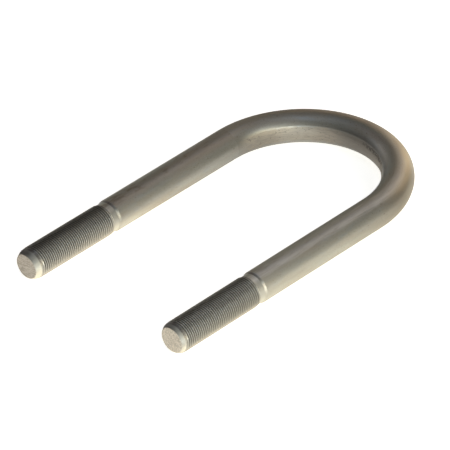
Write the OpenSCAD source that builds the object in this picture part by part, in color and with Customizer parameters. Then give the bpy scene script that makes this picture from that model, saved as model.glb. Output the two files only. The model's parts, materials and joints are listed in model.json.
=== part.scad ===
// Round-bend U-bolt with two threaded legs: one steel bar, stepped and threaded at
// both ends and then bent round a former.
// Millimetres. The bolt lies flat. The origin is the centre of the bend, halfway
// through the bar. The legs point along -Y, and the bend closes the U towards +Y.

/* [Bar] */
// Diameter of the round bar
bar_d = 20; // [18:1:24]

/* [U shape] */
// Distance between the centre lines of the two legs
leg_spacing = 117; // [80:1:200]
// Length of a leg, from the end of the bend to the flat tip
leg_l = 168.5; // [120:0.5:300]
// Depth of the narrow seat that the former presses into the inside of the bend
seat_depth = 0.2; // [0.1:0.1:0.6]

/* [Thread] */
// Pitch of the thread
pitch = 1.5; // [1:0.25:2.5]
// Number of full turns of thread on each leg
turns = 40; // [10:1:50]
// Radial step from the surface of the bar down to the crests of the thread
crest_step = 0.2; // [0.1:0.02:0.3]

/* [Neck and shoulder] */
// Length of the plain neck between the shoulder and the thread
neck_l = 4.2; // [2:0.1:10]
// Radial step from the surface of the bar down to the neck
neck_step = 0.7; // [0.3:0.05:1]
// Length of the shoulder, a short cone from the bar down to the neck
shoulder_l = 1.4; // [0.4:0.1:2]

/* [Tip] */
// Diameter of the flat face at the tip of a leg
tip_d = 15.6; // [12:0.2:17]
// Length of the chamfer round the tip
tip_l = 3.4; // [1:0.1:5]

/* [Hidden] */
$fn = 96;

LEFT = -1;
RIGHT = 1;
bar_r = bar_d / 2;
bend_r = leg_spacing / 2;                 // centre line of the bend
seat_r = bend_r - bar_r + seat_depth;     // the round tube that the bend holds
crest_r = bar_r - crest_step;
neck_r = bar_r - neck_step;
tip_r = tip_d / 2;

// Sixty degree thread with crests an eighth and roots a quarter of a pitch wide
ridge_h = 5 / 8 * sqrt(3) / 2 * pitch;
root_r = crest_r - ridge_h;

// Stations along a leg
end_l = neck_l + turns * pitch + tip_l;   // neck, thread and chamfer
shank_l = leg_l - end_l - shoulder_l;     // full bar, up to the shoulder

// The ridges run on past the start of the chamfer, which then cuts them off
ridges = turns + ceil(tip_l / pitch);
blank_l = neck_l + ridges * pitch;
chamfer_slope = tip_l / (crest_r - tip_r);

steel = "#8f8b82";
scuffed_steel = "#9a9488";
threaded_steel = "#6f6e69";

// Places its children on a leg, with Z running from the bend to the tip
module on_leg(side) {
    translate([side * leg_spacing / 2, 0, 0]) rotate([90, 0, 0]) children();
}

// One ring ridge of the thread, as points of radius and height above its start z
function ridge(z) = [
    [root_r, z + 1 / 8 * pitch],
    [crest_r, z + 7 / 16 * pitch],
    [crest_r, z + 9 / 16 * pitch],
    [root_r, z + 7 / 8 * pitch]
];

// Neck and thread, not yet chamfered. The helix is drawn as a stack of ring ridges.
module threaded_blank() {
    rotate_extrude() polygon(concat(
        [[0, 0], [neck_r, 0], [neck_r, neck_l]],
        [for (i = [0 : ridges - 1]) each ridge(neck_l + i * pitch)],
        [[root_r, blank_l], [0, blank_l]]
    ));
}

// A round blank, wider than the crests, with the chamfer and flat face of the tip
module chamfered_outline() {
    rotate_extrude() polygon([
        [0, -1], [bar_r, -1],
        [bar_r, end_l - (bar_r - tip_r) * chamfer_slope],
        [tip_r, end_l], [0, end_l]
    ]);
}

module shank(side) {
    color(steel) on_leg(side) {
        cylinder(r = bar_r, h = shank_l);
        translate([0, 0, shank_l]) cylinder(r1 = bar_r, r2 = neck_r, h = shoulder_l);
    }
}

module thread(side) {
    color(threaded_steel) on_leg(side) translate([0, 0, leg_l - end_l]) intersection() {
        threaded_blank();
        chamfered_outline();
    }
}

// Half a turn of bar, with the former's seat as a narrow round land on its inside
module bend() {
    color(scuffed_steel) difference() {
        rotate_extrude(angle = 180) translate([bend_r, 0]) circle(r = bar_r);
        cylinder(r = seat_r, h = 2 * bar_d, center = true);
    }
}

bend();
shank(LEFT);  // left_shank
shank(RIGHT);  // right_shank
thread(LEFT);  // left_thread
thread(RIGHT);  // right_thread
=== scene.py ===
"""Looks of a round-bend U-bolt: one steel bar, bent round a former and threaded at both ends.

The five pieces are zones of the one bar and meet face to face. All share one way of
measuring the bar as if it were still straight, so steel and shape run on across the joins.
"""
import json
import math

import bmesh
import bpy
import numpy as np
from mathutils import Matrix, Vector

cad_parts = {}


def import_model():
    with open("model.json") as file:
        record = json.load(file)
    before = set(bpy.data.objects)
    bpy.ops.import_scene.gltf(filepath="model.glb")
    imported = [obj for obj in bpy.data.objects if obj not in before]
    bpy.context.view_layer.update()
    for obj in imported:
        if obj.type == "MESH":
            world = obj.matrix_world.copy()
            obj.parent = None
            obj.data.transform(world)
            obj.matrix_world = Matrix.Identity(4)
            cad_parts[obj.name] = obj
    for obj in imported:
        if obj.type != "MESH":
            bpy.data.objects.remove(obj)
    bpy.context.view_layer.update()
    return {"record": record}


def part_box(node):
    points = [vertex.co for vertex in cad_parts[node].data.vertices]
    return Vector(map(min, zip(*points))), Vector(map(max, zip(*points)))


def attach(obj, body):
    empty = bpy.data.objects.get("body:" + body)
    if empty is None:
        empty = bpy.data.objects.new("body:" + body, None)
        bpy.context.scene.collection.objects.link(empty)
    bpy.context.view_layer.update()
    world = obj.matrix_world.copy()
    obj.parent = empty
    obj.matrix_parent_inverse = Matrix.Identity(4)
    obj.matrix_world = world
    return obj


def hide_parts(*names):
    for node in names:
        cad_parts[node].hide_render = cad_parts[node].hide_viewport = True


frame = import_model()

MM = 0.001
BODY = "root"

# ---- Sizes, from the frame ----

SHANK_LOW, SHANK_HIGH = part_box("right_shank")
THREAD_LOW, THREAD_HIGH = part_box("right_thread")
SADDLE = next(m for m in frame["record"]["mounts"] if m["name"] == "saddle")

BEND_R = (SHANK_LOW.x + SHANK_HIGH.x) / 2     # centre line of the bend, and of each leg from the middle
BAR_R = SHANK_HIGH.x - BEND_R
CREST_R = THREAD_HIGH.x - BEND_R
SEAT_DEPTH = SADDLE["dims"]["r_mm"] * MM - (BEND_R - BAR_R)
NECK_START = -SHANK_LOW.y                     # distances along a leg, from the end of the bend
LEG_L = -THREAD_LOW.y
FLOOR_Z = -BAR_R
BEND_L = math.pi * BEND_R
LEFT = -1
RIGHT = 1

# ---- Sizes of the details ----

SHOULDER_L = 1.4 * MM
NECK_L = 4.2 * MM
NECK_R = BAR_R - 0.7 * MM
PITCH = 1.5 * MM
RIDGE_H = 5 / 8 * math.sqrt(3) / 2 * PITCH    # sixty degree thread
ROOT_R = CREST_R - RIDGE_H
RUN_OUT = 1.8 * PITCH                         # the ridges grow to full height over this length
TIP_R = {LEFT: 7.9 * MM, RIGHT: 8.0 * MM}     # the two tips differ a little
CHAMFER_L = {LEFT: 4.8 * MM, RIGHT: 3.7 * MM}
CHAMFER_CURVE = {LEFT: 1.3, RIGHT: 1.5}       # 1 for a straight cone, more for a rounded one
BRIGHT_L = {LEFT: 3.6 * MM, RIGHT: 2.3 * MM}  # the part of the chamfer, from the tip, in its own colour
TIP_FADE = {LEFT: 1.6 * MM, RIGHT: 1.2 * MM}  # length over which the last ridges are worn
TIP_WEAR = {LEFT: 0.80, RIGHT: 0.75}          # share by which the wear levels them
WORN_HEIGHT = 0.75                            # height that it levels them to, 1 at the crest
TIP_FLAT = {LEFT: 0.70 * MM, RIGHT: 0.60 * MM}
TIP_FLAT_TURN = math.radians(62)              # where the chamfer bites deepest into the tip face
TIP_EDGE = 0.25 * MM                          # rounded edge between chamfer and tip face
CHAMFER_EDGE = 0.1 * MM                       # width over which thread and chamfer blend
FACE_RINGS = (0.9, 0.8, 0.68, 0.55, 0.42, 0.28, 0.14)
SHOULDER_IN = np.array([-0.15, 0, 0.12]) * MM
SHOULDER_OUT = np.array([-0.25, -0.1, 0]) * MM
SEAT_FADE = math.radians(8)                   # the seat fades out towards each end of the bend
LAND_HALF_ANGLE = math.radians(28)            # the former's land inside the bend, to each side
LAND_EDGE = math.radians(9)

# ---- Fineness of the meshes ----

SIDES = 96
BEND_STEPS = 192
SHANK_STEP = 1.0 * MM
ROWS_PER_PITCH = 16
SHARP_ANGLE = math.radians(50)


def smooth(low, high, value):
    """0 below low, 1 above high, and an S-shaped rise between them."""
    share = np.clip((value - low) / (high - low), 0, 1)
    return share * share * (3 - 2 * share)


def straightened(points):
    """Each point's place on the unbent bar: outward from its axis, upward, and along it.

    Along is 0 where the right leg meets the bend, and falls towards the right tip."""
    x, y, z = points.T
    curved = y > 0
    turned = np.arctan2(np.maximum(y, 0), x) * BEND_R
    outward = np.where(curved, np.hypot(x, y), np.abs(x)) - BEND_R
    along = np.where(curved, turned, np.where(x > 0, y, BEND_L - y))
    return np.stack([outward, z, along], axis=1)


def on_leg(side, station, radius, angle):
    """Points on a leg: station runs from bend to tip, angle turns from +X to +Z."""
    x = side * BEND_R + radius * np.cos(angle)
    z = radius * np.sin(angle)
    return np.stack(np.broadcast_arrays(x, -station, z), axis=-1)


def in_bend(turn, radius, angle):
    """Points on the bend: turn runs from the right leg to the left, angle from outward to up."""
    reach = BEND_R + radius * np.cos(angle)
    return np.stack(np.broadcast_arrays(
        reach * np.cos(turn), reach * np.sin(turn), radius * np.sin(angle)), axis=-1)


def lofted(rings):
    """A closed bmesh through rings of points, an array of (rings, points, 3)."""
    sides = rings.shape[1]
    made = bmesh.new()
    rows = [[made.verts.new(point) for point in ring] for ring in rings]
    for low, high in zip(rows, rows[1:]):
        for i in range(sides):
            j = (i + 1) % sides
            made.faces.new((low[i], low[j], high[j], high[i]))
    made.faces.new(rows[0])
    made.faces.new(rows[-1])
    return made


def piece(name, made, material):
    """Turns a bmesh into a piece of the bolt, which stands for the CAD node of that name."""
    bmesh.ops.recalc_face_normals(made, faces=made.faces)
    mesh = bpy.data.meshes.new(name)
    made.to_mesh(mesh)
    made.free()
    mesh.shade_smooth()
    mesh.set_sharp_from_angle(angle=SHARP_ANGLE)
    points = np.empty(len(mesh.vertices) * 3)
    mesh.vertices.foreach_get("co", points)
    place = mesh.attributes.new("bar_place", "FLOAT_VECTOR", "POINT")
    place.data.foreach_set("vector", straightened(points.reshape(-1, 3)).ravel())
    mesh.materials.append(material)
    made_piece = bpy.data.objects.new(name + "_steel", mesh)
    bpy.context.scene.collection.objects.link(made_piece)
    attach(made_piece, BODY)
    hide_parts(name)
    return made_piece


# ---- The bend ----

def land_share(angle):
    """1 on the former's land inside the bend and 0 off it, from the angle round the bar."""
    from_inside = np.abs(np.pi - np.mod(angle, 2 * np.pi))
    return 1 - smooth(LAND_HALF_ANGLE - LAND_EDGE / 2, LAND_HALF_ANGLE + LAND_EDGE / 2, from_inside)


def bend(material):
    """Half a turn of bar, with the former's seat pressed into its inside."""
    turn = np.linspace(0, math.pi, BEND_STEPS + 1)[:, None]
    angle = np.linspace(0, 2 * math.pi, SIDES * 2, endpoint=False)[None, :]
    fade = smooth(0, SEAT_FADE, turn) * smooth(0, SEAT_FADE, math.pi - turn)
    radius = BAR_R - SEAT_DEPTH * land_share(angle) * fade
    return piece("bend", lofted(in_bend(turn, radius, angle)), material)


# ---- The shanks ----

def shank(side, name, material):
    """The plain bar of a leg, down to the end of its shoulder."""
    straight = NECK_START - SHOULDER_L
    steps = round(straight / SHANK_STEP)
    stations = np.concatenate([
        np.linspace(0, straight - 0.3 * MM, steps),
        straight + SHOULDER_IN,
        NECK_START + SHOULDER_OUT,
    ])[:, None]
    fall = smooth(straight - 0.2 * MM, NECK_START, stations)
    radius = BAR_R + (NECK_R - BAR_R) * fall
    angle = np.linspace(0, 2 * math.pi, SIDES, endpoint=False)[None, :]
    return piece(name, lofted(on_leg(side, stations, radius, angle)), material)


# ---- The threads ----

def ridge_height(phase):
    """Height of the thread, from 0 at the root to 1 at the crest, over one pitch."""
    from_crest = np.abs(np.mod(phase, 1) - 0.5) * 2
    flank = np.clip((0.75 - from_crest) / 0.625, 0, 1)
    return 0.5 * flank + 0.5 * smooth(0, 1, flank)


def tip_radius(side, angle):
    """Radius of the tip face. The chamfer bites a little deeper on one side."""
    from_flat = np.cos(angle - TIP_FLAT_TURN)
    return TIP_R[side] - TIP_FLAT[side] * smooth(0.4, 1.0, from_flat)


def chamfer_rise(side, depth):
    """How far the chamfer stands out from the tip face at a depth behind it."""
    share = depth / CHAMFER_L[side]
    rounded = 1 - np.maximum(1 - share, 0) ** CHAMFER_CURVE[side]
    return (CREST_R - TIP_R[side]) * np.where(share < 1, rounded, share)


def thread_radius(side, station, phase, angle):
    """Radius of the neck, the thread and the chamfer."""
    start = NECK_START + NECK_L
    rise = smooth(start - 0.4 * RUN_OUT, start + 0.6 * RUN_OUT, station)
    end = LEG_L - CHAMFER_L[side]
    worn = TIP_WEAR[side] * smooth(end - TIP_FADE[side], end + 0.2 * TIP_FADE[side], station)
    height = ridge_height(phase)
    height = height + (WORN_HEIGHT - height) * worn
    ridge = ROOT_R + RIDGE_H * height
    radius = NECK_R + (ridge - NECK_R) * rise
    chamfer = tip_radius(side, angle) + chamfer_rise(side, LEG_L - station)
    near = np.maximum(1 - np.abs(radius - chamfer) / CHAMFER_EDGE, 0)
    return np.minimum(radius, chamfer) - near ** 2 * CHAMFER_EDGE / 4


def thread_blank(side):
    """The neck and thread as one helical grid, whose rows run along the ridges."""
    turns = math.ceil((LEG_L - NECK_START) / PITCH) + 3
    rows = turns * ROWS_PER_PITCH
    row = np.arange(rows)[:, None]
    column = np.arange(SIDES)[None, :]
    angle = 2 * math.pi * column / SIDES
    start = NECK_START + NECK_L - math.ceil(NECK_L / PITCH + 1.5) * PITCH
    station = start + PITCH * (row / ROWS_PER_PITCH + column / SIDES)
    radius = thread_radius(side, station, row / ROWS_PER_PITCH, angle)
    points = on_leg(side, station, radius, angle)
    made = bmesh.new()
    verts = [[made.verts.new(point) for point in line] for line in points]
    for i in range(rows - ROWS_PER_PITCH - 1):
        for j in range(SIDES - 1):
            made.faces.new((verts[i][j], verts[i][j + 1], verts[i + 1][j + 1], verts[i + 1][j]))
        low = verts[i + ROWS_PER_PITCH][0]
        high = verts[i + ROWS_PER_PITCH + 1][0]
        made.faces.new((verts[i][-1], low, high, verts[i + 1][-1]))
    return made


def cut(made, station, keep):
    """Cuts a mesh square across a leg, and gives the edges of the cut."""
    bmesh.ops.bisect_plane(
        made, geom=made.verts[:] + made.edges[:] + made.faces[:], dist=1e-8,
        plane_co=(0, -station, 0), plane_no=(0, -keep, 0), clear_inner=True)
    return [e for e in made.edges if e.is_boundary
            and all(abs(v.co.y + station) < 1e-7 for v in e.verts)]


def tip(made, rim, side):
    """Closes a threaded end: the end of the chamfer, its rounded edge and the flat face."""
    edge = [(2 * TIP_EDGE, float(chamfer_rise(side, 2 * TIP_EDGE))),
            (0.6 * TIP_EDGE, float(chamfer_rise(side, 0.55 * TIP_EDGE))),
            (0.15 * TIP_EDGE, -0.1 * TIP_EDGE), (0, -0.7 * TIP_EDGE)]
    face = [(0, (share - 1) * TIP_R[side]) for share in FACE_RINGS]
    for depth, growth in edge + face:
        grown = bmesh.ops.extrude_edge_only(made, edges=rim)["geom"]
        rim = [g for g in grown if isinstance(g, bmesh.types.BMEdge) and g.is_boundary]
        for v in (g for g in grown if isinstance(g, bmesh.types.BMVert)):
            angle = math.atan2(v.co.z, v.co.x - side * BEND_R)
            share = 1 + growth / TIP_R[side]
            v.co = on_leg(side, LEG_L - depth, float(tip_radius(side, angle)) * share, angle)
    bmesh.ops.contextual_create(made, geom=rim)


def thread(side, name, material):
    """The neck, the helical thread and the chamfered tip of a leg."""
    made = thread_blank(side)
    neck_rim = cut(made, NECK_START, keep=1)
    tip_rim = cut(made, LEG_L - 4 * TIP_EDGE, keep=-1)
    bmesh.ops.contextual_create(made, geom=neck_rim)
    tip(made, tip_rim, side)
    loose = [v for v in made.verts if not v.link_faces]
    bmesh.ops.delete(made, geom=loose, context="VERTS")
    return piece(name, made, material)


# ---- Materials ----

# Many of the tints below have a fixed place on the bar. Some of them are painted light and painted shade,
# which stand for light that the steel reflects, besides its own colour.
GREY = (0.318, 0.308, 0.272)
BROWN = (0.272, 0.240, 0.200)
BLUE_GREY = (0.275, 0.285, 0.280)
RUST = (0.130, 0.090, 0.062)
# Dark brown of the pits and of the chamfer's top, and painted shade over the shoulder
DARK_BROWN = (0.085, 0.068, 0.056)
TOP_BROWN = (0.215, 0.188, 0.160)
# Painted light, on the legs towards each shoulder and over one stretch inside the bend
PAINTED_LIGHT = (0.500, 0.475, 0.412)
# Painted shade, near the bend end of each leg and over one stretch inside the bend
PAINTED_SHADE = (0.170, 0.158, 0.136)
# Painted highlight along the right leg and into the bend
STREAK_HIGHLIGHT = (0.440, 0.432, 0.405)
# Painted shade over the top and outside of the bend's left half
CROWN_SHADE = (0.128, 0.104, 0.080)
OUTSIDE = (0.172, 0.148, 0.118)
# Painted tan highlight on the outside of the bend
OUTSIDE_HIGHLIGHT = (0.470, 0.410, 0.320)
TAN = (0.360, 0.315, 0.252)
# Painted shade inside the bend
INSIDE_SHADE = (0.170, 0.155, 0.138)
THREAD_DARK = (0.120, 0.110, 0.095)
# Painted shade over the upper left of the threads
THREAD_SHADE = (0.070, 0.062, 0.055)
CREST_LEFT = (0.430, 0.412, 0.368)
CREST_RIGHT = (0.395, 0.382, 0.342)
# Painted light on the lower right of the crests
CREST_LIT = (0.480, 0.445, 0.385)
NECK = (0.400, 0.385, 0.345)
# Painted light on the lower right of the neck
NECK_LIT = (0.445, 0.428, 0.362)
# Painted highlight along the neck and crests
NECK_HIGHLIGHT = (0.660, 0.655, 0.630)
CHAMFER = (0.285, 0.270, 0.238)
# Painted light on the low side of the chamfers
CHAMFER_LIT_RIGHT = (0.680, 0.620, 0.510)
CHAMFER_LIT_LEFT = (0.640, 0.590, 0.480)
LEFT_FACE = ((0.525, 0.458, 0.384), (0.310, 0.270, 0.217))
RIGHT_FACE = ((0.625, 0.550, 0.448), (0.413, 0.360, 0.290))

METAL_SHARE = 0.7
EDGE_TINT = (0.55, 0.55, 0.55, 1)        # dull steel hardly brightens where it is seen edge-on
BAR_RELIEF = 0.02 * MM
THREAD_RELIEF = 0.015 * MM
DULLED = 0.14                            # extra roughness of the pressed land and of the chamfer

# Turns round a leg, from the right over the top
TOP_TURN = math.radians(90)
# The painted highlight streak lies along this turn
STREAK_TURN = math.radians(78)           # a bright streak along the right leg
SHOULDER_TURN = math.radians(85)
CHAMFER_TOP_TURN = math.radians(105)
THREAD_SHADE_TURN = math.radians(108)            # the middle of the painted shade on the threads
GRIME_TURN = math.radians(2)             # the side where the right thread is dirtiest
# Neck, crests and chamfer are painted paler towards this turn, as painted light
LIT_SIDE_TURN = math.radians(-35)             # the side where neck, crests and chamfer are palest
UNDER_TURN = math.radians(-90)

# Stretches of the bend, as shares of its length from the right leg: where a tint starts to
# rise, is full, starts to fall and is gone
# The first stretch holds a painted tan highlight on the outside
TAN_HIGHLIGHT_STRETCH = (0.17, 0.29, 0.42, 0.60)
PITTED_STRETCH = (0.24, 0.33, 0.40, 0.52)
# The next four stretches hold painted shade inside, a painted highlight inside, painted shade inside and
# painted shade over the top
INSIDE_SHADE_STRETCH = (0.20, 0.50, 0.52, 0.66)
PAINTED_LIGHT_STRETCH = (0.62, 0.74, 0.78, 0.85)
PAINTED_SHADE_STRETCH = (0.77, 0.90, 0.99, 1.08)
CROWN_STRETCH = (0.36, 0.52, 0.84, 1.02)


def node(tree, kind, inputs=None, **settings):
    """A new shader node. Inputs are sockets to link or plain values, by name or number."""
    made = tree.nodes.new("ShaderNode" + kind)
    for name, value in settings.items():
        setattr(made, name, value)
    for key, value in (inputs or {}).items():
        if isinstance(value, bpy.types.NodeSocket):
            tree.links.new(value, made.inputs[key])
        else:
            made.inputs[key].default_value = value
    return made


def mixed(tree, share, low, high):
    """A colour between low, at share 0, and high, at share 1."""
    low, high = ((*c, 1) if isinstance(c, tuple) else c for c in (low, high))
    return node(tree, "Mix", {0: share, 6: low, 7: high}, data_type="RGBA").outputs[2]


def scaled(tree, value, from_low, from_high, to_low=0.0, to_high=1.0):
    """Value taken smoothly from one range to another, and held at the ends."""
    inputs = {"Value": value, "From Min": from_low, "From Max": from_high,
              "To Min": to_low, "To Max": to_high}
    return node(tree, "MapRange", inputs, interpolation_type="SMOOTHSTEP").outputs[0]


def times(tree, value, other):
    """The product of two values."""
    return node(tree, "Math", {0: value, 1: other}, operation="MULTIPLY").outputs[0]


def plus(tree, value, other):
    """The sum of two values."""
    return node(tree, "Math", {0: value, 1: other}, operation="ADD").outputs[0]


def bar_place(tree):
    """Place on the unbent bar, in metres: outward, upward and along."""
    return node(tree, "Attribute", attribute_name="bar_place").outputs["Vector"]


def grain(tree, place, across, along, detail=2.0, upward=None):
    """Noise from 0 to 1 whose grains are so many metres across the bar and along it."""
    size = (1 / across, 1 / (upward or across), 1 / along)
    stretched = node(tree, "VectorMath", {0: place, 1: size}, operation="MULTIPLY").outputs[0]
    return node(tree, "TexNoise", {"Vector": stretched, "Scale": 1.0, "Detail": detail}).outputs[0]


def bumped(tree, height, depth):
    """Normals of a surface with relief of that depth."""
    return node(tree, "Bump", {"Height": height, "Distance": depth, "Strength": 1.0}).outputs[0]


def bare_steel(tree, place):
    """Colour, roughness and relief of the bare drawn bar, with painted light towards each shoulder and
    painted shade near the bend.
    """
    patches = grain(tree, place, 7 * MM, 40 * MM)
    tints = grain(tree, place, 4 * MM, 16 * MM, 3.0)
    streaks = grain(tree, place, 0.35 * MM, 22 * MM)
    satin = grain(tree, place, 0.16 * MM, 0.35 * MM)
    stains = grain(tree, place, 1.1 * MM, 2.4 * MM, 4.0)
    specks = grain(tree, place, 0.5 * MM, 1.3 * MM, 3.0)
    colour = mixed(tree, scaled(tree, patches, 0.36, 0.72, 0, 0.7), GREY, BROWN)
    colour = mixed(tree, scaled(tree, specks, 0.45, 0.75, 0, 0.48), colour, TOP_BROWN)
    colour = mixed(tree, scaled(tree, tints, 0.50, 0.72, 0, 0.5), colour, BLUE_GREY)
    colour = mixed(tree, scaled(tree, streaks, 0.50, 0.75, 0, 0.22), colour, BROWN)
    station = leg_station(tree, place)
    # Painted light: paler towards each shoulder, more on the right leg
    lightened = scaled(tree, station, 0.35 * NECK_START, 0.98 * NECK_START)
    colour = mixed(tree, times(tree, lightened, right_leg(tree, 0.14, 0.32)), colour, PAINTED_LIGHT)
    # Painted shade: darker near the bend end of each leg, more on the right leg
    shaded_end = between(tree, station, -25 * MM, 0.0, 0.0, 0.40 * NECK_START)
    colour = mixed(tree, times(tree, shaded_end, right_leg(tree, 0.20, 0.36)), colour, PAINTED_SHADE)
    colour = mixed(tree, scaled(tree, stains, 0.66, 0.74, 0, 0.65), colour, RUST)
    roughness = plus(tree, scaled(tree, patches, 0.3, 0.7, 0.39, 0.48),
                     scaled(tree, satin, 0.3, 0.7, -0.03, 0.03))
    relief = plus(tree, times(tree, streaks, 0.35), times(tree, satin, 0.65))
    return colour, roughness, relief


def right_leg(tree, on_left=0.0, on_right=1.0):
    """One value on the left leg and another on the right."""
    across = node(tree, "SeparateXYZ", {0: node(tree, "TexCoord").outputs["Object"]}).outputs[0]
    return scaled(tree, across, -MM, MM, on_left, on_right)


def facing(tree, place, turn):
    """How far a point lies towards a turn round its leg, from the right over the top: 1 at most."""
    parts = node(tree, "SeparateXYZ", {0: place}).outputs
    rightward = times(tree, times(tree, parts[0], right_leg(tree, -1.0, 1.0)), math.cos(turn) / BAR_R)
    return plus(tree, rightward, times(tree, parts[1], math.sin(turn) / BAR_R))


def highlight_streak(tree, place, low, high):
    """1 along the painted highlight streak on the right leg, and 0 off it."""
    along = node(tree, "SeparateXYZ", {0: place}).outputs[2]
    ragged = plus(tree, facing(tree, place, STREAK_TURN),
                  scaled(tree, grain(tree, place, 0.9 * MM, 12 * MM, 4.0), 0.2, 0.8, -0.04, 0.04))
    on_leg_side = scaled(tree, along, 0.0, 0.35 * BEND_L, 1, 0)
    return times(tree, scaled(tree, ragged, low, high), on_leg_side)


def land_mask(tree, place):
    """1 on the former's land inside the bend, with a ragged edge, and 0 elsewhere."""
    parts = node(tree, "SeparateXYZ", {0: place}).outputs
    height = node(tree, "Math", {0: parts[1]}, operation="ABSOLUTE").outputs[0]
    inward = times(tree, parts[0], -1.0)
    angle = node(tree, "Math", {0: height, 1: inward}, operation="ARCTAN2").outputs[0]
    ragged = plus(tree, angle, scaled(tree, grain(tree, place, 1.0 * MM, 3.0 * MM), 0.2, 0.8, -0.05, 0.05))
    band = scaled(tree, ragged, LAND_HALF_ANGLE - 0.03, LAND_HALF_ANGLE + 0.03, 1, 0)
    starts = scaled(tree, parts[2], 0.0, 14 * MM)
    ends = scaled(tree, parts[2], BEND_L - 14 * MM, BEND_L, 1, 0)
    return times(tree, band, times(tree, starts, ends))


def between(tree, value, rise_low, rise_high, fall_low, fall_high):
    """1 over a stretch of value and 0 outside it, with smooth ends."""
    return times(tree, scaled(tree, value, rise_low, rise_high),
                 scaled(tree, value, fall_low, fall_high, 1, 0))


def bend_stretch(tree, along, stretch):
    """1 over a stretch of the bend and 0 outside it."""
    return between(tree, along, *(share * BEND_L for share in stretch))


def steel(name):
    """An empty material of dull steel, with its shader: bare metal under a thin dark scale."""
    material = bpy.data.materials.new(name)
    material.use_nodes = True
    shader = material.node_tree.nodes["Principled BSDF"]
    shader.inputs["Metallic"].default_value = METAL_SHARE
    shader.inputs["Specular Tint"].default_value = EDGE_TINT
    return material, material.node_tree, shader


def finish(tree, shader, colour, roughness, relief, depth):
    """Links colour, roughness and relief to a material's shader."""
    tree.links.new(colour, shader.inputs["Base Color"])
    tree.links.new(roughness, shader.inputs["Roughness"])
    tree.links.new(bumped(tree, relief, depth), shader.inputs["Normal"])


def leg_station(tree, place):
    """Distance along a leg, from the end of the bend to the tip."""
    along = node(tree, "SeparateXYZ", {0: place}).outputs[2]
    past_middle = plus(tree, along, -BEND_L / 2)
    from_middle = node(tree, "Math", {0: past_middle}, operation="ABSOLUTE").outputs[0]
    return plus(tree, from_middle, -BEND_L / 2)


def rusty_tops(tree, place):
    """1 in the soft brown smears on top of the bar above each shoulder, fewer on the right leg."""
    station = leg_station(tree, place)
    smears = grain(tree, place, 1.6 * MM, 6.0 * MM, 4.0)
    near = scaled(tree, station, NECK_START - 40 * MM, NECK_START, 0, 0.14)
    on_top = scaled(tree, facing(tree, place, TOP_TURN), 0.80, 0.97)
    smeared = scaled(tree, plus(tree, smears, near), 0.52, 0.74)
    return times(tree, smeared, times(tree, on_top, right_leg(tree, 1.0, 0.4)))


def shoulder_shade(tree, place):
    """1 on the upper part of the shoulder, where shade is painted, and 0 elsewhere."""
    station = leg_station(tree, place)
    band = between(tree, station, NECK_START - 1.5 * MM, NECK_START - 0.9 * MM,
                   NECK_START - 0.2 * MM, NECK_START + 0.3 * MM)
    return times(tree, band, scaled(tree, facing(tree, place, SHOULDER_TURN), 0.65, 0.92))


def drawn_steel():
    """Bare drawn steel of the shanks, with a painted highlight streak, brown smears above the shoulder and
    painted shade over the shoulder.
    """
    material, tree, shader = steel("drawn_steel")
    place = bar_place(tree)
    colour, roughness, relief = bare_steel(tree, place)
    on_top = scaled(tree, facing(tree, place, STREAK_TURN), 0.80, 0.98)
    colour = mixed(tree, times(tree, on_top, right_leg(tree, 0.45, 0.0)), colour, TOP_BROWN)
    # Painted highlight: a bright streak along the top of the right leg
    streaked = scaled(tree, leg_station(tree, place), 0.4 * NECK_START, NECK_START, 0.55, 0.95)
    colour = mixed(tree, times(tree, highlight_streak(tree, place, 0.91, 1.0), streaked), colour, STREAK_HIGHLIGHT)
    colour = mixed(tree, times(tree, rusty_tops(tree, place), 0.45), colour, RUST)
    # Painted shade over the upper part of the shoulder
    colour = mixed(tree, times(tree, shoulder_shade(tree, place), 0.55), colour, DARK_BROWN)
    finish(tree, shader, colour, roughness, relief, BAR_RELIEF)
    return material


def browned_outside(tree, parts, colour):
    """The bend's brown outside, with a painted tan highlight over one stretch."""
    outside = scaled(tree, parts[0], 0.1 * BAR_R, 0.8 * BAR_R, 0, 0.8)
    along_bend = between(tree, parts[2], -5 * MM, 20 * MM, BEND_L - 20 * MM, BEND_L + 5 * MM)
    # Painted tan highlight over one stretch of the outside
    outer = mixed(tree, bend_stretch(tree, parts[2], TAN_HIGHLIGHT_STRETCH), OUTSIDE, OUTSIDE_HIGHLIGHT)
    return mixed(tree, times(tree, outside, along_bend), colour, outer)


def shaded_inside(tree, parts, colour):
    """The bend's inside, with stretches of painted shade, painted highlight and more painted shade, and
    painted shade over its top.
    """
    inside = scaled(tree, parts[0], -0.66 * BAR_R, -0.87 * BAR_R)
    crown = scaled(tree, parts[0], -0.35 * BAR_R, 0.20 * BAR_R)
    # Painted shade and a painted highlight inside, and painted shade over the top and outside of the left
    # half
    tints = [(inside, INSIDE_SHADE_STRETCH, 0.72, INSIDE_SHADE), (inside, PAINTED_LIGHT_STRETCH, 0.25, PAINTED_LIGHT),
             (inside, PAINTED_SHADE_STRETCH, 0.32, PAINTED_SHADE), (crown, CROWN_STRETCH, 0.62, CROWN_SHADE)]
    for where, stretch, share, tint in tints:
        there = times(tree, where, bend_stretch(tree, parts[2], stretch))
        colour = mixed(tree, times(tree, there, share), colour, tint)
    return colour


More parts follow.
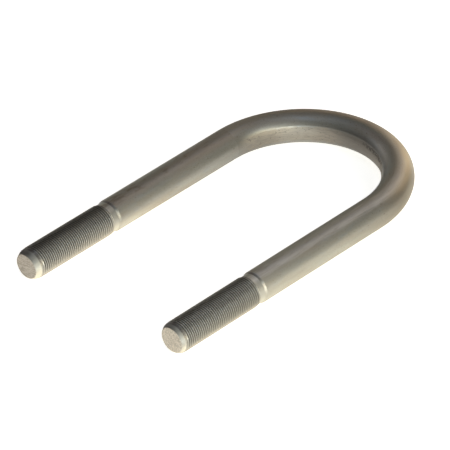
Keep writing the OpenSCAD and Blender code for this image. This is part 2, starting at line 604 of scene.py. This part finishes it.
def bent_steel():
    """Bare steel, brown outside, that the former has pressed dull and pitted on the inside, with painted
    highlights and painted shade.
    """
    material, tree, shader = steel("bent_steel")
    place = bar_place(tree)
    parts = node(tree, "SeparateXYZ", {0: place}).outputs
    colour, roughness, relief = bare_steel(tree, place)
    # Painted highlight: the streak runs on, fainter, into the bend
    colour = mixed(tree, times(tree, highlight_streak(tree, place, 0.91, 1.0), 0.62), colour, STREAK_HIGHLIGHT)
    colour = browned_outside(tree, parts, colour)
    land = land_mask(tree, place)
    scuffs = grain(tree, place, 0.5 * MM, 6 * MM, 4.0)
    upper_edge = between(tree, parts[1], 0.15 * BAR_R, 0.38 * BAR_R, 0.5 * BAR_R, 0.6 * BAR_R)
    pitted = times(tree, upper_edge, bend_stretch(tree, parts[2], PITTED_STRETCH))
    pit_grain = plus(tree, grain(tree, place, 0.7 * MM, 1.6 * MM, 4.0), times(tree, pitted, 0.22))
    pits = scaled(tree, pit_grain, 0.625, 0.68)
    pressed = mixed(tree, scaled(tree, scuffs, 0.35, 0.7), TAN, BROWN)
    colour = mixed(tree, land, colour, mixed(tree, pits, pressed, DARK_BROWN))
    colour = shaded_inside(tree, parts, colour)
    roughness = plus(tree, roughness, times(tree, land, DULLED))
    dents = plus(tree, times(tree, scuffs, 0.6), times(tree, pits, -1.2))
    relief = plus(tree, relief, times(tree, land, dents))
    finish(tree, shader, colour, roughness, relief, BAR_RELIEF)
    return material


def ridge_colour(tree, place, station, past_end):
    """Dark roots and brighter crests, paler on the lower right as painted light and with a painted
    highlight streak, and more grime near the neck of the right leg.
    """
    parts = node(tree, "SeparateXYZ", {0: place}).outputs
    across = node(tree, "CombineXYZ", {0: parts[0], 1: parts[1]}).outputs[0]
    radius = node(tree, "VectorMath", {0: across}, operation="LENGTH").outputs["Value"]
    height = times(tree, scaled(tree, radius, ROOT_R, CREST_R),
                   scaled(tree, past_end, -3.0 * MM, -1.0 * MM, 1.0, 0.82))
    crest = mixed(tree, right_leg(tree), CREST_LEFT, CREST_RIGHT)
    # Painted light: crests paler towards the lower right
    crest = mixed(tree, scaled(tree, facing(tree, place, LIT_SIDE_TURN), 0.88, 0.99), crest, CREST_LIT)
    # Painted highlight: the streak runs on over the crests
    crest = mixed(tree, times(tree, highlight_streak(tree, place, 0.90, 0.98), 0.75), crest, NECK_HIGHLIGHT)
    ridge = mixed(tree, height, THREAD_DARK, crest)
    wear = grain(tree, place, 1.2 * MM, 1.2 * MM, 3.0)
    ridge = mixed(tree, scaled(tree, wear, 0.35, 0.75, 0, 0.5), ridge, BROWN)
    grime = scaled(tree, station, NECK_START + NECK_L, LEG_L - 4 * MM, 0.34, 0.08)
    grimy_side = scaled(tree, facing(tree, place, GRIME_TURN), 0.72, 0.97)
    return mixed(tree, times(tree, times(tree, grime, grimy_side), right_leg(tree)), ridge, THREAD_DARK)


def neck_colour(tree, place):
    """The smooth neck, paler on its lower right as painted light, with the painted highlight streak,
    smears and painted shoulder shade running on over it.
    """
    # Painted light: neck paler towards the lower right
    neck = mixed(tree, scaled(tree, facing(tree, place, LIT_SIDE_TURN), 0.76, 0.98), NECK, NECK_LIT)
    # Painted highlight: the streak runs on over the neck
    neck = mixed(tree, times(tree, highlight_streak(tree, place, 0.80, 0.99), 0.9), neck, NECK_HIGHLIGHT)
    neck = mixed(tree, times(tree, rusty_tops(tree, place), 0.6), neck, RUST)
    # Painted shade over the upper part of the shoulder, running on over the neck
    return mixed(tree, times(tree, shoulder_shade(tree, place), 0.35), neck, DARK_BROWN)


def chamfer_colour(tree, place, past_end):
    """The chamfer, pale on its low side as painted light, and dark over the top."""
    # Painted light: chamfer pale on its low side, and dark again underneath
    pale = mixed(tree, right_leg(tree), CHAMFER_LIT_LEFT, CHAMFER_LIT_RIGHT)
    under = scaled(tree, facing(tree, place, UNDER_TURN), 0.66, 0.86)
    pale = mixed(tree, under, pale, CHAMFER)
    pale_side = plus(tree, facing(tree, place, LIT_SIDE_TURN), right_leg(tree, 0.12, 0.0))
    chamfer = mixed(tree, scaled(tree, pale_side, 0.60, 0.95), CHAMFER, pale)
    # Darker over the top of the chamfer towards the tip
    dark_top = times(tree, scaled(tree, past_end, -0.2 * MM, 2.2 * MM),
                  scaled(tree, facing(tree, place, CHAMFER_TOP_TURN), 0.55, 0.82))
    return mixed(tree, times(tree, dark_top, right_leg(tree, 0.85, 0.5)), chamfer, DARK_BROWN)


def face_colour(tree, place):
    """The flat faces of the tips: mottled, and with level marks on the left one."""
    mottle = scaled(tree, grain(tree, place, 0.9 * MM, 1 * MM, 4.0), 0.36, 0.64)
    marks = scaled(tree, grain(tree, place, 6 * MM, 1 * MM, 3.0, 0.7 * MM), 0.40, 0.62)
    marked = plus(tree, times(tree, mottle, 0.5), times(tree, marks, 0.5))
    left_face = mixed(tree, marked, *LEFT_FACE)
    return mixed(tree, right_leg(tree), left_face, mixed(tree, mottle, *RIGHT_FACE))


def threaded_steel():
    """Steel of the threaded ends: ridges, neck, chamfer and tip face, with painted shade over the upper
    left of thread and chamfer.
    """
    material, tree, shader = steel("threaded_steel")
    place = bar_place(tree)
    station = leg_station(tree, place)
    colour, roughness, relief = bare_steel(tree, place)
    past_end = plus(tree, station, right_leg(tree, BRIGHT_L[LEFT] - LEG_L, BRIGHT_L[RIGHT] - LEG_L))
    neck_end = NECK_START + NECK_L
    past_neck = scaled(tree, station, neck_end - 1.0 * MM, neck_end + 1.0 * MM)
    on_thread = times(tree, past_neck, scaled(tree, past_end, -0.4 * MM, 0.3 * MM, 1, 0))
    plain = mixed(tree, past_neck, neck_colour(tree, place), chamfer_colour(tree, place, past_end))
    plain = mixed(tree, 0.75, colour, plain)
    colour = mixed(tree, on_thread, plain, ridge_colour(tree, place, station, past_end))
    # Painted shade over the upper left of the thread and chamfer, more on the left leg
    shaded_side = times(tree, past_neck, scaled(tree, facing(tree, place, THREAD_SHADE_TURN), 0.62, 0.95))
    colour = mixed(tree, times(tree, shaded_side, right_leg(tree, 0.55, 0.28)), colour, THREAD_SHADE)
    on_face = scaled(tree, station, LEG_L - 0.12 * MM, LEG_L - 0.04 * MM)
    colour = mixed(tree, on_face, colour, face_colour(tree, place))
    past_thread = scaled(tree, past_end, -0.4 * MM, 0.3 * MM)
    roughness = plus(tree, roughness, times(tree, past_thread, DULLED))
    finish(tree, shader, colour, roughness, relief, THREAD_RELIEF)
    return material


bare = drawn_steel()
bend(bent_steel())
shank(LEFT, "left_shank", bare)
shank(RIGHT, "right_shank", bare)
rolled = threaded_steel()
thread(LEFT, "left_thread", rolled)
thread(RIGHT, "right_thread", rolled)

# ---- Floor, light and camera ----

CAMERA_AZIMUTH = math.radians(45.26)     # from in front of the tips towards the right leg
CAMERA_ELEVATION = math.radians(33.43)
CAMERA_ROLL = math.radians(-3.15)
CAMERA_DISTANCE = 3.409
CAMERA_LENS = 468.96
LIT_POINT = Vector((0, -0.05, 0))
LIGHT_DISTANCE = 1.6
LIGHT_WIDTH = 0.9
STRIP_HEIGHT = 0.26
AIM_DOWN_LEGS = 0.080                    # the camera aims between the legs
AIM_RIGHT = 0.0117
AIM_UP = 0.0069

FLOOR_GLOW = (0.84, 0.835, 0.80, 1)
FLOOR_COLOUR = (0.85, 0.85, 0.85, 1)
FLOOR_ROUGHNESS = 0.9
FLOOR_SIZE = 12
TABLE_DEPTH = 0.5 * MM
TABLE_STRENGTH = 1.3
WORLD_COLOUR = (1, 1, 0.99, 1)
WORLD_STRENGTH = 0.7

# The light table's glow. Its stops are distances to the right of the middle, in metres.
GLOW_REACH = 0.9
GLOW_PLAIN = (0.60, 0.60, 0.57)
GLOW_INSIDE = (0.68, 0.68, 0.65)
GLOW_RIGHT = (0.95, 0.90, 0.79)
GLOW_NEAR = (0.79, 0.76, 0.635)
GLOW_LEG = (1.85, 1.71, 1.38)
GLOW_EDGE = (1.32, 1.24, 1.01)
GLOW_STOPS = [(-0.062, GLOW_PLAIN), (-0.055, GLOW_INSIDE), (0.050, GLOW_INSIDE),
              (0.058, GLOW_EDGE), (0.071, GLOW_EDGE), (0.080, GLOW_NEAR), (0.095, GLOW_NEAR),
              (0.130, GLOW_RIGHT), (0.5, GLOW_RIGHT), (0.7, GLOW_PLAIN)]
LEG_GLOW_X = (-0.062, -0.055, -0.043, -0.025)   # across the right side of the left leg
LEG_GLOW_Y = (-0.105, 0.015)                    # it fades out from the shoulder to the bend
THREAD_GLOW_Y = (-0.112, -0.090)                # and is weaker beside the thread
THREAD_GLOW = 0.60

# Name, azimuth, elevation in degrees, power in watts, colour, and height if not round
LAMPS = [
    ("overhead", 0, 88, 2.6, (0.70, 0.80, 1.0)),
    ("low_back", 180, 17, 6.2, (1.0, 0.81, 0.51)),
    ("high_back", 180, 38, 2.9, (1.0, 0.93, 0.98)),
    ("low_back_left", 210, 17, 2.9, (1.0, 0.83, 0.65)),
    ("low_left_back", 240, 17, 0.92, (0.95, 1.0, 0.83)),
    ("low_left", 270, 17, 1.7, (1.0, 0.99, 1.0)),
    ("high_left", 270, 38, 0.74, (1.0, 0.86, 0.91)),
    ("strip_front", 30, 4, 3.6, (0.60, 0.80, 1.0), STRIP_HEIGHT),
    ("strip_front_right", 60, 4, 17.4, (0.95, 1.0, 0.96), STRIP_HEIGHT),
    ("low_right", 90, 17, 9.3, (1.0, 0.92, 0.67)),
    ("high_right", 90, 38, 4.4, (0.80, 0.90, 1.0)),
]


def direction(azimuth, elevation):
    """The way from the bolt towards an azimuth, measured from the front to the right."""
    flat = math.cos(elevation)
    return Vector((math.sin(azimuth) * flat, -math.cos(azimuth) * flat, math.sin(elevation)))


def camera():
    """A long lens on the front right, above the bolt."""
    back = direction(CAMERA_AZIMUTH, CAMERA_ELEVATION)
    level = Vector((0, 0, 1)).cross(back).normalized()
    turn = Matrix.Rotation(CAMERA_ROLL, 3, back)
    right = turn @ level
    up = turn @ back.cross(level)
    aim = Vector((0, -AIM_DOWN_LEGS, 0)) + AIM_RIGHT * right + AIM_UP * up
    data = bpy.data.cameras.new("camera")
    data.lens = CAMERA_LENS
    made = bpy.data.objects.new("camera", data)
    made.matrix_world = Matrix.Translation(aim + CAMERA_DISTANCE * back) @ \
        Matrix((right, up, back)).transposed().to_4x4()
    bpy.context.scene.collection.objects.link(made)
    bpy.context.scene.camera = made


def soft_box(name, azimuth, elevation, power, colour, height=LIGHT_WIDTH):
    """A large soft light, round or a low strip, that faces the bolt and isn't seen itself."""
    data = bpy.data.lights.new(name, "AREA")
    data.shape = "DISK" if height == LIGHT_WIDTH else "RECTANGLE"
    data.size = LIGHT_WIDTH
    data.size_y = height
    data.energy = power
    data.color = colour
    made = bpy.data.objects.new(name, data)
    towards = direction(math.radians(azimuth), math.radians(elevation))
    made.location = LIT_POINT + towards * LIGHT_DISTANCE
    made.rotation_euler = towards.to_track_quat("Z", "Y").to_euler()
    made.visible_camera = False
    bpy.context.scene.collection.objects.link(made)


def table_glow(tree):
    """The glow of the light table, strongest under the right leg and right of the left leg."""
    place = node(tree, "TexCoord").outputs["Object"]
    parts = node(tree, "SeparateXYZ", {0: place}).outputs
    across = node(tree, "MapRange", {"Value": parts[0], "From Min": -GLOW_REACH,
                                     "From Max": GLOW_REACH}).outputs[0]
    ramp = node(tree, "ValToRGB", {0: across})
    stops = ramp.color_ramp.elements
    stops[0].color = (*GLOW_PLAIN, 1)
    stops[1].color = (*GLOW_PLAIN, 1)
    for x, colour in GLOW_STOPS:
        stops.new(0.5 + x / GLOW_REACH / 2).color = (*colour, 1)
    beside_leg = times(tree, scaled(tree, parts[1], *LEG_GLOW_Y, 1, 0),
                       scaled(tree, parts[1], *THREAD_GLOW_Y, THREAD_GLOW, 1.0))
    right_of_leg = between(tree, parts[0], *LEG_GLOW_X)
    glow = mixed(tree, times(tree, beside_leg, right_of_leg), ramp.outputs[0], GLOW_LEG)
    past_tips = scaled(tree, parts[1], -LEG_L - 6 * MM, -LEG_L + 2 * MM, 1, 0)
    return mixed(tree, past_tips, glow, GLOW_INSIDE)


def pale_plane(name, height):
    """A wide pale plane, with its material's nodes and shader."""
    made = bmesh.new()
    place = Matrix.Translation((0, 0, height))
    bmesh.ops.create_grid(made, x_segments=8, y_segments=8, size=FLOOR_SIZE, matrix=place)
    mesh = bpy.data.meshes.new(name)
    made.to_mesh(mesh)
    made.free()
    material = bpy.data.materials.new("pale_" + name)
    material.use_nodes = True
    tree = material.node_tree
    shader = tree.nodes["Principled BSDF"]
    shader.inputs["Base Color"].default_value = FLOOR_COLOUR
    shader.inputs["Roughness"].default_value = FLOOR_ROUGHNESS
    mesh.materials.append(material)
    plane = bpy.data.objects.new(name, mesh)
    bpy.context.scene.collection.objects.link(plane)
    return plane, tree, shader


def floor():
    """The floor that the camera sees. It isn't seen in the steel, and takes no part in the light."""
    plane, _, shader = pale_plane("floor", FLOOR_Z)
    shader.inputs["Emission Color"].default_value = FLOOR_GLOW
    shader.inputs["Emission Strength"].default_value = 1.0
    plane.visible_diffuse = False
    plane.visible_glossy = False
    plane.visible_shadow = False


def light_table():
    """The lit table under the floor, which only shows in the steel."""
    plane, tree, shader = pale_plane("light_table", FLOOR_Z - TABLE_DEPTH)
    tree.links.new(table_glow(tree), shader.inputs["Emission Color"])
    shader.inputs["Emission Strength"].default_value = TABLE_STRENGTH
    plane.visible_camera = False


def world():
    """A pale background, which lights nothing and isn't reflected."""
    made = bpy.data.worlds.new("studio")
    made.use_nodes = True
    made.node_tree.nodes["Background"].inputs["Color"].default_value = WORLD_COLOUR
    made.node_tree.nodes["Background"].inputs["Strength"].default_value = WORLD_STRENGTH
    made.cycles_visibility.diffuse = False
    made.cycles_visibility.glossy = False
    bpy.context.scene.world = made


camera()
floor()
light_table()
world()
for lamp in LAMPS:
    soft_box(*lamp)

bpy.context.scene.view_settings.view_transform = "Standard"
